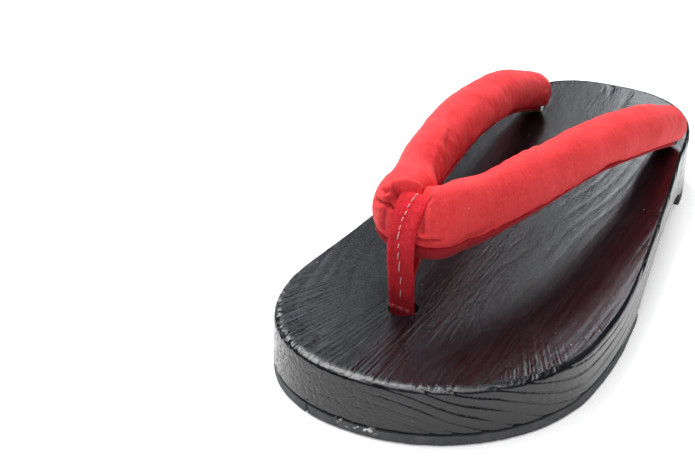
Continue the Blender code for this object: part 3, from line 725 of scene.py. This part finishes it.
def arm_stations(side):
    """Evenly spaced (u, v, w, half width, half height), and the distance from the fold's middle."""
    rows = arm_route(side)
    route = smooth_route(rows, rows[1] * (1, -1, 1, 1, 1), 2 * rows[-1] - rows[-2])
    travel = travelled(strap_points(route[:, :3]))
    want = np.linspace(0, travel[-1], int(travel[-1] / STRAP_STEP) + 1)
    even = resample(want, travel, route)
    even[:, 1] *= side
    return even, want


def directions(centres, side):
    """Forward, outward and upward directions at every station."""
    ahead = headings(centres)
    out = units(side * np.cross(ahead, UP))
    up = side * np.cross(out, ahead)
    return ahead, out, up * np.sign(up[:, 2:3])


def oval(centre, wide, tall, out, up):
    return centre + np.outer(wide, out) + np.outer(tall, up)


THONG_ROUTE = np.array([     # (u, w, half width, half thickness) of the felt loop, front leg first
    (-1.30, -3.5, 4.6, 0.95), (-1.5, 2.0, 5.1, 1.0), (-2.1, 9.0, 5.3, 1.0), (-2.7, 20.0, 5.4, 1.0),
    (-2.5, 27.5, 5.3, 1.0), (-1.0, 33.5, 5.4, 1.0), (1.8, 38.2, 5.6, 1.0), (5.4, 40.9, 5.8, 1.0),
    (8.8, 40.6, 4.8, 1.0), (11.6, 37.6, 3.4, 1.1), (12.6, 32.5, 2.6, 1.2), (11.4, 26.0, 2.4, 1.2),
    (7.2, 18.5, 2.4, 1.1), (3.6, 12.0, 2.6, 1.0), (1.9, 6.0, 3.0, 0.95), (1.5, 1.0, 3.5, 0.95),
    (1.5, -3.5, 3.8, 0.95),
])
BED_MIDDLE = np.array([6.0, 29.0])      # (u, w) that the loop passes round


def smooth_rows(rows, steps):
    return smooth_route(rows, 2 * rows[0] - rows[1], 2 * rows[-1] - rows[-2], steps)


def bed_radius(angle):
    """How far the back of the loop lies from BED_MIDDLE; 0 is ahead, 90 degrees is up."""
    rows = smooth_rows(THONG_ROUTE, 8)[:, :2] - BED_MIDDLE
    a = np.arctan2(rows[:, 1], -rows[:, 0])
    r = np.linalg.norm(rows, axis=1) - 1.25
    upper = rows[:, 1] > -14
    order = np.argsort(a[upper])
    return np.interp(angle, a[upper][order], r[upper][order])


def to_strap(p, side):
    """x, y, z to u, v, w, with v outward on the given side."""
    flat = p[:, :2] - FRONT
    return flat @ ALONG, side * (flat @ ACROSS), p[:, 2] - top_height(LENGTH / 2 - p[:, 0])


def from_strap(u, v, w, side):
    return strap_points(np.column_stack([u, side * v, w]))


def lobe_share(travel, side):
    return np.exp(-((travel - LOBE_TRAVEL) / LOBE_REACH[side]) ** 2)


def arm_rings(side):
    """The strap's cover as rings of points, before its creases."""
    rows, travel = arm_stations(side)
    centres = strap_points(rows[:, :3])
    ahead, out, up = directions(centres, side)
    a = circle(STRAP_SIDES)
    s, c = np.sin(a), np.cos(a)
    lobe = lobe_share(travel, side)
    lining = 0.9 * step(-0.54, -0.66, c)
    rings = []
    for i in range(len(rows)):
        half_width, half_height = rows[i, 3:]
        bend_gap = side * rows[i, 1] if travel[i] > FOLD_TRAVEL else FOLD_BEND
        touch = 1 - step(20.0, 34.0, travel[i])
        inner = half_width + (max(bend_gap - 0.5, half_width) - half_width) * touch
        width = np.where(s > 0, half_width + LOBE[side] * lobe[i], half_width)
        width = np.where(s < 0, inner, width)
        height = half_height + 0.9 * lobe[i] * np.maximum(c, 0)
        rings.append(oval(centres[i], (width - lining) * s, (height - lining) * c, out[i], up[i]))
    last, end = rings[-1], travel[-1]
    tail = [(0.96, 0.9), (0.86, 1.8), (0.70, 2.5), (0.45, 3.0), (0.20, 3.2)]
    for k, reach in tail:
        rings.append(centres[-1] + (last - centres[-1]) * k + ahead[-1] * reach)
    travel = np.concatenate([travel, end + np.array([t[1] for t in tail])])
    return np.array(rings), travel, end


def press(p, side, keep=0.15):
    """Keeps the cover on its own side, above the wood and off the loop's rear leg."""
    u, v, w = to_strap(p, side)
    leg = 1 - step(38.5, 42.0, w)
    du, dv = u - CROTCH, np.maximum(v, 0.01)
    far = np.hypot(du, dv)
    push_out = np.maximum(0, CROTCH_RADIUS * leg - far)
    u = u + du / far * push_out
    v = v + dv / far * push_out
    return from_strap(u, np.maximum(v, keep), np.maximum(w, 0.5), side)


def bedded(p, side):
    """Presses the cover in where the loop passes, with a crease where both halves meet."""
    u, v, w = to_strap(p, side)
    du, dw = u - BED_MIDDLE[0], w - BED_MIDDLE[1]
    radius = np.hypot(du, dw)
    angle = np.arctan2(dw, -du)
    half = 5.2 - 6.5 * step(math.radians(88), math.radians(112), angle)
    front = angle > math.radians(-60)
    weight = (1 - step(half, half + 1.6, v)) * front
    radius = radius + (np.minimum(radius, bed_radius(angle)) - radius) * weight
    crease = np.exp(-(np.maximum(v, 0) / 1.1) ** 2) * step(math.radians(80), math.radians(105), angle)
    radius = radius - 2.4 * crease * (w > 30)
    u, w = BED_MIDDLE[0] - radius * np.cos(angle), BED_MIDDLE[1] + radius * np.sin(angle)
    return from_strap(u, v, w, side)


def stroke(p, line, depth, width):
    """A pinched line: p sinks near it and swells half as much beside it."""
    line = strap_points(line)
    fine = np.linspace(0, len(line) - 1, 12 * len(line))
    line = resample(fine, np.arange(len(line)), line)
    line = np.array([p[np.argmin(((p - q) ** 2).sum(1))] for q in line])
    line = line[np.concatenate([[True], np.linalg.norm(np.diff(line, axis=0), axis=1) > 0.05])]
    nearest = np.full(len(p), np.inf)
    for a, b in zip(line, line[1:]):
        d = b - a
        t = np.clip(((p - a) @ d) / (d @ d), 0, 1)
        nearest = np.minimum(nearest, np.linalg.norm(p - (a + t[:, None] * d), axis=1))
    beside = np.exp(-((nearest - 2.1 * width) / width) ** 2)
    return depth * (0.5 * beside - np.exp(-(nearest / width) ** 2))


FOLDS = {                   # pinched lines of each side's cover: (u, v, w) points, depth, width
    1: [([(8, 0.5, 47), (4, 6.4, 44), (-1.0, 7.2, 38), (-2.5, 7.0, 32)], 1.7, 0.75),
        ([(-2.0, 6.2, 30), (-1.5, 9.5, 29.5), (1.0, 12.5, 30)], 1.6, 0.65),
        ([(-1.0, 8.5, 27.5), (3.0, 14.5, 27.0), (10, 19, 27.0), (24, 23, 27.5)], 0.55, 1.1)],
    -1: [([(8, -0.6, 46), (4.5, -4.5, 46.5), (1.5, -8.0, 44.5), (0.5, -10.5, 43)], 2.1, 0.75),
         ([(2.5, -6.0, 45), (-1.0, -7.5, 41), (-3.2, -8.5, 36), (-3.2, -7.8, 30)], 1.4, 0.75),
         ([(-2.0, -6.5, 41), (-2.5, -11.0, 40.5), (0.5, -15.5, 39)], 1.7, 0.7)],
}


def puckers(count, travel, end, side):
    """Small crosswise gathers of the cover, strongest beside the lining and at the rear end."""
    a = np.tile(circle(STRAP_SIDES), count)
    s = np.repeat(travel, STRAP_SIDES)
    c_a, s_a = np.cos(a), np.sin(a)
    skewed = s + 2.2 * s_a
    inner = np.clip(0.5 - 0.5 * s_a, 0, 1)
    rear = step(end - 34, end - 6, s)
    ridge = fractal(columns(skewed / 3.6, c_a * 1.1, s_a * 1.1 + 7 * side), 11, 2)
    tight = fractal(columns(skewed / 1.9, c_a * 2.4, s_a * 2.4 + 3 * side), 12, 2)
    lengthwise = fractal(columns(s / 11.0, c_a * 3.4, s_a * 3.4 + 5 * side), 13, 2)
    soft = fractal(columns(s / 16.0, c_a, s_a), 14, 2)
    seam = np.exp(-((np.abs(np.degrees(a) - 180) - 62) / 26) ** 2)
    amount = 0.20 + 0.42 * inner * step(10, 40, s) + 0.24 * seam + 0.15 * rear
    return amount * ridge + 0.6 * amount * tight + 0.22 * soft + rear * 0.55 * lengthwise


def soften(obj):
    """Lets the stuffed cover settle as cloth: it swells, and slack cloth gathers across the arm."""
    rest = points_of(obj)
    cloth = obj.modifiers.new("settle", "CLOTH")
    made = cloth.settings
    made.quality = 6
    made.mass = 0.12
    made.tension_stiffness = made.compression_stiffness = 12
    made.shear_stiffness = 6
    made.bending_stiffness = 0.02
    made.tension_damping = made.compression_damping = 12
    made.use_pressure = True
    made.uniform_pressure_force = CLOTH_PRESSURE
    made.shrink_min = made.shrink_max = CLOTH_SHRINK
    made.effector_weights.gravity = 0
    cloth.collision_settings.use_collision = False
    cloth.collision_settings.use_self_collision = False
    cloth.point_cache.frame_start = 1
    cloth.point_cache.frame_end = CLOTH_FRAMES
    scene = bpy.context.scene
    for number in range(1, CLOTH_FRAMES + 1):
        scene.frame_set(number)
    apply_modifiers(obj)
    scene.frame_set(1)
    moved = points_of(obj) - rest
    size = np.linalg.norm(moved, axis=1)
    set_points(obj, rest + moved * (np.minimum(size, CLOTH_REACH) / np.maximum(size, 1e-6))[:, None])


def arm_cover(name, side, material):
    rings, travel, end = arm_rings(side)
    obj = closed_skin(name, rings, material)
    soften(obj)
    value = np.concatenate([puckers(len(rings), travel, end, side), [0, 0]])
    p = points_of(obj)
    crease_shade = np.zeros(len(p))
    for line, depth, width in FOLDS[side]:
        sunk = stroke(p, line, depth, width)
        value = value + sunk
        crease_shade = np.maximum(crease_shade, -sunk / 1.4)
    push(obj, value)
    set_points(obj, press(bedded(points_of(obj), side), side))
    along = np.concatenate([np.repeat(travel, STRAP_SIDES), [0, end + 3]])
    around = np.concatenate([np.tile(STRAP_RADIUS * circle(STRAP_SIDES), len(rings)), [0, 0]])
    lay_uv(obj, along, around, STRAP_RADIUS * 2 * math.pi)
    # painted shade in the creases, read by the cloth's colour
    store(obj, "crease", np.clip(crease_shade, 0, 1))
    subdivide(obj)
    return obj


def lay_uv(obj, along, around, whole):
    """UVs in mm: along the strap and round it, with the join kept whole."""
    mesh = obj.data
    layer = mesh.uv_layers.new(name="UVMap")
    corner = np.empty(len(mesh.loops), int)
    mesh.loops.foreach_get("vertex_index", corner)
    start = np.empty(len(mesh.polygons), int)
    total = np.empty(len(mesh.polygons), int)
    mesh.polygons.foreach_get("loop_start", start)
    mesh.polygons.foreach_get("loop_total", total)
    v = around[corner]
    face = np.repeat(np.arange(len(start)), total)
    largest = np.maximum.reduceat(v, start)[face]
    v = np.where(largest - v > whole / 2, v + whole, v)
    layer.data.foreach_set("uv", np.column_stack([along[corner], v]).ravel())


def arm_lining(name, side, material):
    """The felt strip under an arm, from the fold to the rear end."""
    rows, travel = arm_stations(side)
    centres = strap_points(rows[:, :3])
    _, out, up = directions(centres, side)
    rings = []
    for i in range(len(rows)):
        edge = 58 - 22 * step(60, travel[-1], travel[i])
        phi = np.radians(np.linspace(180 - edge, 180 + edge, LINING_STEPS))
        front = 1 - step(20, 95, travel[i])
        lobe = LOBE[side] * lobe_share(travel[i], side)
        wide = rows[i, 3] + np.where(np.sin(phi) > 0, lobe, 0.0) + 0.35
        tall = rows[i, 4] + 0.30 + 1.7 * front
        thick = LINING_THICK + 1.4 * front
        outer, inner = (oval(centres[i], (wide - t) * np.sin(phi), (tall - t) * np.cos(phi), out[i], up[i])
                        for t in (0.0, thick))
        rings.append(np.vstack([outer, inner[::-1]]))
    obj = closed_skin(name, np.array(rings), material)
    p = points_of(obj)
    push(obj, 0.12 * fractal(p / 1.6, 21, 2) + 0.10 * fractal(p / 6.0, 22, 2))
    set_points(obj, press(points_of(obj), side, 0.1))
    return obj


# ---------------------------------------------------------------- toe thong
def ribbon(rows):
    """Rings of a soft-edged band along (x, y, z, half width, half thickness) rows."""
    outward = units(np.cross(SIDEWAYS, headings(rows[:, :3])))
    a = circle(THONG_SIDES)
    flat = np.sign(np.cos(a)) * np.abs(np.cos(a)) ** 0.42
    deep = np.sign(np.sin(a)) * np.abs(np.sin(a)) ** 0.62
    rings = [oval(row[:3], row[3] * flat, row[4] * deep, SIDEWAYS, out) for out, row in zip(outward, rows)]
    return np.array(rings), a


def thong_line():
    rows = smooth_rows(THONG_ROUTE, THONG_STEPS)
    return np.column_stack([strap_points(columns(rows[:, 0], 0, rows[:, 1])), rows[:, 2:]])


def thong_look(material):
    rows = thong_line()
    lean = fractal(columns(np.arange(len(rows)) / 30.0, 0, 0), 81, 2)
    rows[:, :2] += np.outer(0.35 * lean, ACROSS)
    rings, a = ribbon(rows)
    obj = closed_skin("toe_thong", rings, material)
    p = points_of(obj)
    spot = np.concatenate([np.tile(a, len(rings)), [0, 0]])
    run = np.concatenate([np.repeat(np.arange(len(rings)), THONG_SIDES), [0, 0]])
    angle = (np.degrees(spot) + 180) % 360 - 180 - 8 * np.sin(run / 23)
    seams = np.exp(-((angle + 90) / 13) ** 2) + np.exp(-((angle - 90) / 13) ** 2)
    push(obj, 0.16 * fractal(p / 1.5, 23, 3) + 0.14 * fractal(p / 5.0, 24, 2) - 0.30 * seams)
    subdivide(obj)
    return obj


def across(ahead):
    """Two directions across each heading, which turn as little as they can along the line."""
    first = np.cross(ahead[0], (0.3, 0.5, 0.81))
    for forward in ahead:
        first = first - forward * (first @ forward)
        first = first / np.linalg.norm(first)
        yield first, np.cross(forward, first)


def tube(name, lines, radius, material, sides):
    """Closed tubes along lines of points in mm, joined into one object."""
    points, faces = [], []
    a = circle(sides)
    total = 0
    for line in lines:
        line = np.asarray(line, float)
        size = radius(line) if callable(radius) else np.full(len(line), radius)
        rings = [oval(centre, thick * np.cos(a), thick * np.sin(a), first, second)
                 for centre, thick, (first, second) in zip(line, size, across(headings(line)))]
        stack, caps = fans(np.array(rings).reshape(-1, 3), len(rings), sides)
        faces += [tuple(k + total for k in face) for face in ring_faces(len(rings), sides) + caps]
        points.append(stack)
        total += len(stack)
    obj = make_object(name, np.vstack(points), faces, material)
    face_out(obj)
    return obj


def tapered(thick):
    def size(line):
        t = np.linspace(0, 1, len(line))
        return thick * np.clip(np.minimum(t, 1 - t) * 6, 0.25, 1)
    return size


def thong_stitches(material):
    """The seam thread down the loop's front: long uneven stitches that dip into the felt."""
    rows = thong_line()
    out = np.cross(SIDEWAYS, headings(rows[:, :3]))
    in_sight = rows[:, 2] - top_height(LENGTH / 2 - rows[:, 0]) > 1.5
    lines = []
    k = FIRST_STITCH
    pick = np.random.default_rng(4)
    while k < LAST_STITCH and in_sight[k]:
        length = int(pick.integers(4, 8))
        sway = 0.55 * math.sin(k / 13) + 0.5 * pick.uniform(-1, 1)
        line = []
        for t in np.linspace(0, 1, 7):
            i = min(k + t * length, len(rows) - 2)
            j, f = int(i), i - int(i)
            base = rows[j, :3] * (1 - f) + rows[j + 1, :3] * f
            lift = rows[j, 4] + 0.10 * math.sin(math.pi * t) - 0.02
            shift = sway + 0.5 * (t - 0.5) * pick.uniform(0.4, 1)
            line.append(base + out[j] * lift + SIDEWAYS * shift)
        lines.append(line)
        k += length + int(pick.integers(1, 4))
    return tube("thong_stitches", lines, tapered(THREAD_RADIUS), material, 6)


def frayed_fibres(material):
    """Loose felt fibres where the loop goes into its hole, and a few along its edges."""
    pick = np.random.default_rng(11)
    lines = []
    for _ in range(FOOT_FIBRES):
        shift = pick.uniform(-4.2, 4.2)
        foot = strap_points([(-2.2, 0, 0.9 + pick.uniform(0, 0.8))])[0] + SIDEWAYS * shift
        away = FORWARD * pick.uniform(0.4, 1.0) + SIDEWAYS * pick.uniform(-0.6, 0.6)
        away = away + UP * pick.uniform(-0.5, 0.3)
        curl = SIDEWAYS * pick.uniform(-0.7, 0.7) - 0.25 * UP
        length = pick.uniform(0.7, 1.9)
        line = np.array([foot + away * t * length + curl * t * t for t in np.linspace(0, 1, 6)])
        line[:, 2] = np.maximum(line[:, 2], top_height(LENGTH / 2 - foot[0]) + 0.12)
        lines.append(line)
    rows = thong_line()
    for _ in range(EDGE_FIBRES):
        k = int(pick.integers(24, 100))
        edge = pick.choice([-1.0, 1.0])
        foot = rows[k, :3] + SIDEWAYS * edge * (rows[k, 3] - 0.15)
        away = SIDEWAYS * edge * pick.uniform(0.2, 0.8) + FORWARD * pick.uniform(-0.2, 0.6)
        away = away + UP * pick.uniform(-0.6, 0.6)
        lines.append([foot + away * t * pick.uniform(0.5, 0.7) for t in np.linspace(0, 1, 4)])
    return tube("thong_fibres", lines, tapered(FIBRE_RADIUS), material, 4)


# ---------------------------------------------------------------- cords, knots, cap and nails
def twisted(name, line, radius, material, pitch):
    """A laid cord: three strands wound round a line of points."""
    line = np.asarray(line, float)
    travel = travelled(line)
    want = np.linspace(0, travel[-1], max(12, int(travel[-1] / 0.35)))
    even = resample(want, travel, line)
    strands = [[], [], []]
    for centre, distance, (first, second) in zip(even, want, across(headings(even))):
        for k in range(3):
            turn = 2 * math.pi * (distance / pitch + k / 3)
            strands[k].append(centre + radius * 0.46 * (math.cos(turn) * first + math.sin(turn) * second))
    return tube(name, strands, radius * 0.54, material, 10)


def knot_line(middle, radius, height, turn):
    """A flattened overhand knot, as points."""
    t = np.linspace(0, 2 * math.pi, 90)
    x = (np.sin(t + turn) + 2 * np.sin(2 * t + turn)) / 3
    y = (np.cos(t + turn) - 2 * np.cos(2 * t + turn)) / 3
    z = -np.sin(3 * t)
    return columns(middle[0] + radius * x, middle[1] + radius * y, middle[2] + height * z)


def rear_cord(name, side, material):
    mouth, below = rear_hole(side)
    line = [mouth + Vector((0, 0, 3.6)), mouth + Vector((0.3, 0, 1.2))]
    line += [mouth.lerp(below, share) for share in (0.2, 0.6, 0.95)] + [below + Vector((0, 0, -2.2))]
    return twisted(name, smooth_rows(np.array(line), 12), CORD_RADIUS, material, CORD_PITCH)


def knots(material):
    made = []
    radius, cord, turn = REAR_KNOT
    for name, side, node in (("inner", -1, "rear_knot_inner"), ("outer", 1, "rear_knot_outer")):
        low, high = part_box(node)
        line = knot_line(np.array((low + high) / 2) / MM, radius, KNOT_HEIGHT, turn * side)
        made.append((twisted("knot_" + name, line, cord, material, KNOT_PITCH), node))
    radius, cord, turn = FRONT_KNOT
    low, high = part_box("thong_knot")
    line = knot_line(np.array((low + high) / 2) / MM, radius, KNOT_HEIGHT, turn)
    made.append((twisted("knot_front", line, cord, material, KNOT_PITCH), "thong_knot"))
    return made


def cap_look(material):
    low, high = (np.array(c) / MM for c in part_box("knot_cap"))
    radius = (high[0] - low[0]) / 2
    middle = (low + high) / 2
    bottom, top = low[2] - middle[2], high[2] - middle[2]
    profile = [(0.3, top), (radius - 1.2, top), (radius - 0.25, top - 0.1), (radius, top - 0.5),
               (radius - 0.2, bottom + 0.12), (radius - 0.9, bottom), (radius - 1.7, bottom + 0.1),
               (radius - 2.3, bottom + 0.42), (radius - 4.6, bottom + 0.46), (radius - 5.2, bottom + 0.12),
               (radius - 6.0, bottom + 0.05), (radius - 10.0, bottom + 0.16), (0.3, bottom + 0.22)]
    cap = turned("steel_cap", profile, middle, material=material)
    holes = []
    for name in ("cap_nail_inner", "cap_nail_outer"):
        a, b = (np.array(c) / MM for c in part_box(name))
        x, y = (a[:2] + b[:2]) / 2
        holes.append(rod("cut_nail", NAIL_HOLE_RADIUS, (x, y, low[2] - 3), (x, y, high[2] + 3), 32))
    carve(cap, holes, 30)
    return cap


# ---------------------------------------------------------------- floor, light and camera
LIGHTS = (                  # name, place, target, width, height, watts, colour
    ("key", (-0.25, -0.75, 1.35), (0, 0, 0.03), 0.9, 0.9, 30, (1, 1, 1)),
    ("top", (0.25, 0.15, 1.6), (0, 0, 0.0), 1.2, 1.2, 20, (1, 1, 1)),
    ("heel_card", (-1.27, -0.25, 0.80), (-0.09, 0, 0.03), 0.22, 0.34, 2.1, (0.93, 0.96, 1.0)),
    ("toe_card", (-0.88, -0.78, 0.81), (0.1, 0, 0.02), 0.34, 0.34, 1.1, (0.85, 0.92, 1.0)),
)


def area_light(name, place, target, width, height, power, color):
    data = bpy.data.lights.new(name, "AREA")
    data.shape = "RECTANGLE"
    data.size, data.size_y = width, height
    data.energy = power
    data.color = color
    obj = bpy.data.objects.new(name, data)
    obj.location = place
    obj.rotation_euler = (Vector(target) - Vector(place)).to_track_quat("-Z", "Y").to_euler()
    bpy.context.scene.collection.objects.link(obj)


def studio():
    p = Paint("floor_paint")
    grain = p.noise(p.place(), 0.02, 2.0)
    pale = p.mix(grain, (0.90, 0.90, 0.90), (0.92, 0.92, 0.92))
    p.finish(Base_Color=pale, Roughness=0.9, Specular_IOR_Level=0.1,
             Emission_Color=(1.0, 1.0, 1.0), Emission_Strength=0.35)
    corners = [(x * FLOOR_REACH, y * FLOOR_REACH, 0) for x, y in ((-1, -1), (1, -1), (1, 1), (-1, 1))]
    floor = make_object("floor", corners, [(0, 1, 2, 3)], p.material)
    world = bpy.data.worlds.new("studio")
    bpy.context.scene.world = world
    world.use_nodes = True
    sky = world.node_tree.nodes["Background"].inputs
    sky["Color"].default_value = (0.86, 0.92, 1.0, 1.0)
    sky["Strength"].default_value = 0.10
    for light in LIGHTS:
        area_light(*light)


def camera():
    bpy.context.scene.view_settings.view_transform = "Standard"
    data = bpy.data.cameras.new("camera")
    data.lens = 67.34
    data.sensor_width = 36.0
    obj = bpy.data.objects.new("camera", data)
    obj.location = (0.4348, 0.1586, 0.2702)
    obj.rotation_euler = Vector((-0.7669, -0.4184, -0.4867)).to_track_quat("-Z", "Y").to_euler()
    bpy.context.scene.collection.objects.link(obj)
    bpy.context.scene.camera = obj


# ---------------------------------------------------------------- the whole clog
def keep_node(node, material):
    """A CAD node that stays, with a better material."""
    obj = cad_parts[node]
    obj.data.materials.clear()
    obj.data.materials.append(material)


def main():
    camera()
    studio()
    wood, rubber, cloth, steel = lacquered_wood(), rubber_look(), red_cloth(), steel_look()
    lining = felt_look("lining_felt_look", (0.30, 0.004, 0.012), (0.50, 0.010, 0.022), (0.72, 0.06, 0.07))
    felt = felt_look("thong_felt_look", (0.48, 0.005, 0.014), (0.72, 0.014, 0.028), (0.92, 0.15, 0.16))
    hemp = thread_look("hemp_look", (0.30, 0.20, 0.10), (0.62, 0.48, 0.30), 0.5)
    thread = thread_look("thread_look", (0.85, 0.40, 0.42), (0.95, 0.75, 0.75), 1.6)
    fuzz = thread_look("fuzz_look", (0.50, 0.02, 0.04), (0.80, 0.22, 0.22), 1.2)

    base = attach(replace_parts(base_look(wood), "wooden_base"), "clog")
    front = sole_look("front_rubber", ARCH_FRONT, 200, rubber, window=True)
    heel = sole_look("heel_rubber", -200, ARCH_REAR, rubber)
    for obj, node in ((front, "front_sole"), (heel, "heel_sole")):
        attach(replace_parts(obj, node), "clog")

    for name, side in (("inner", -1), ("outer", 1)):
        cover = arm_cover("strap_" + name, side, cloth)
        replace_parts(cover, "cover_" + name, "cover_fold", "padding_" + name, "padding_fold")
        strip = arm_lining("strip_" + name, side, lining)
        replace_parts(strip, "lining_" + name, "lining_fold")
        for obj, slot in ((cover, "red_cloth"), (strip, "red_felt")):
            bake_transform(obj)
        rope = rear_cord("cord_" + name, side, hemp)
        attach(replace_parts(rope, "rear_cord_" + name), "clog")

    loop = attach(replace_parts(thong_look(felt), "thong_loop"), "clog")
    for obj in (thong_stitches(thread), frayed_fibres(fuzz)):
        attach(obj, "clog")
    for obj, node in knots(hemp):
        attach(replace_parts(obj, node), "clog")
    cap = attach(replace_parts(cap_look(steel), "knot_cap"), "clog")
    for node in ("core_cord_fold", "core_cord_inner", "core_cord_outer", "thong_cord"):
        keep_node(node, hemp)
    for node in ("cap_nail_inner", "cap_nail_outer"):
        keep_node(node, steel)


main()
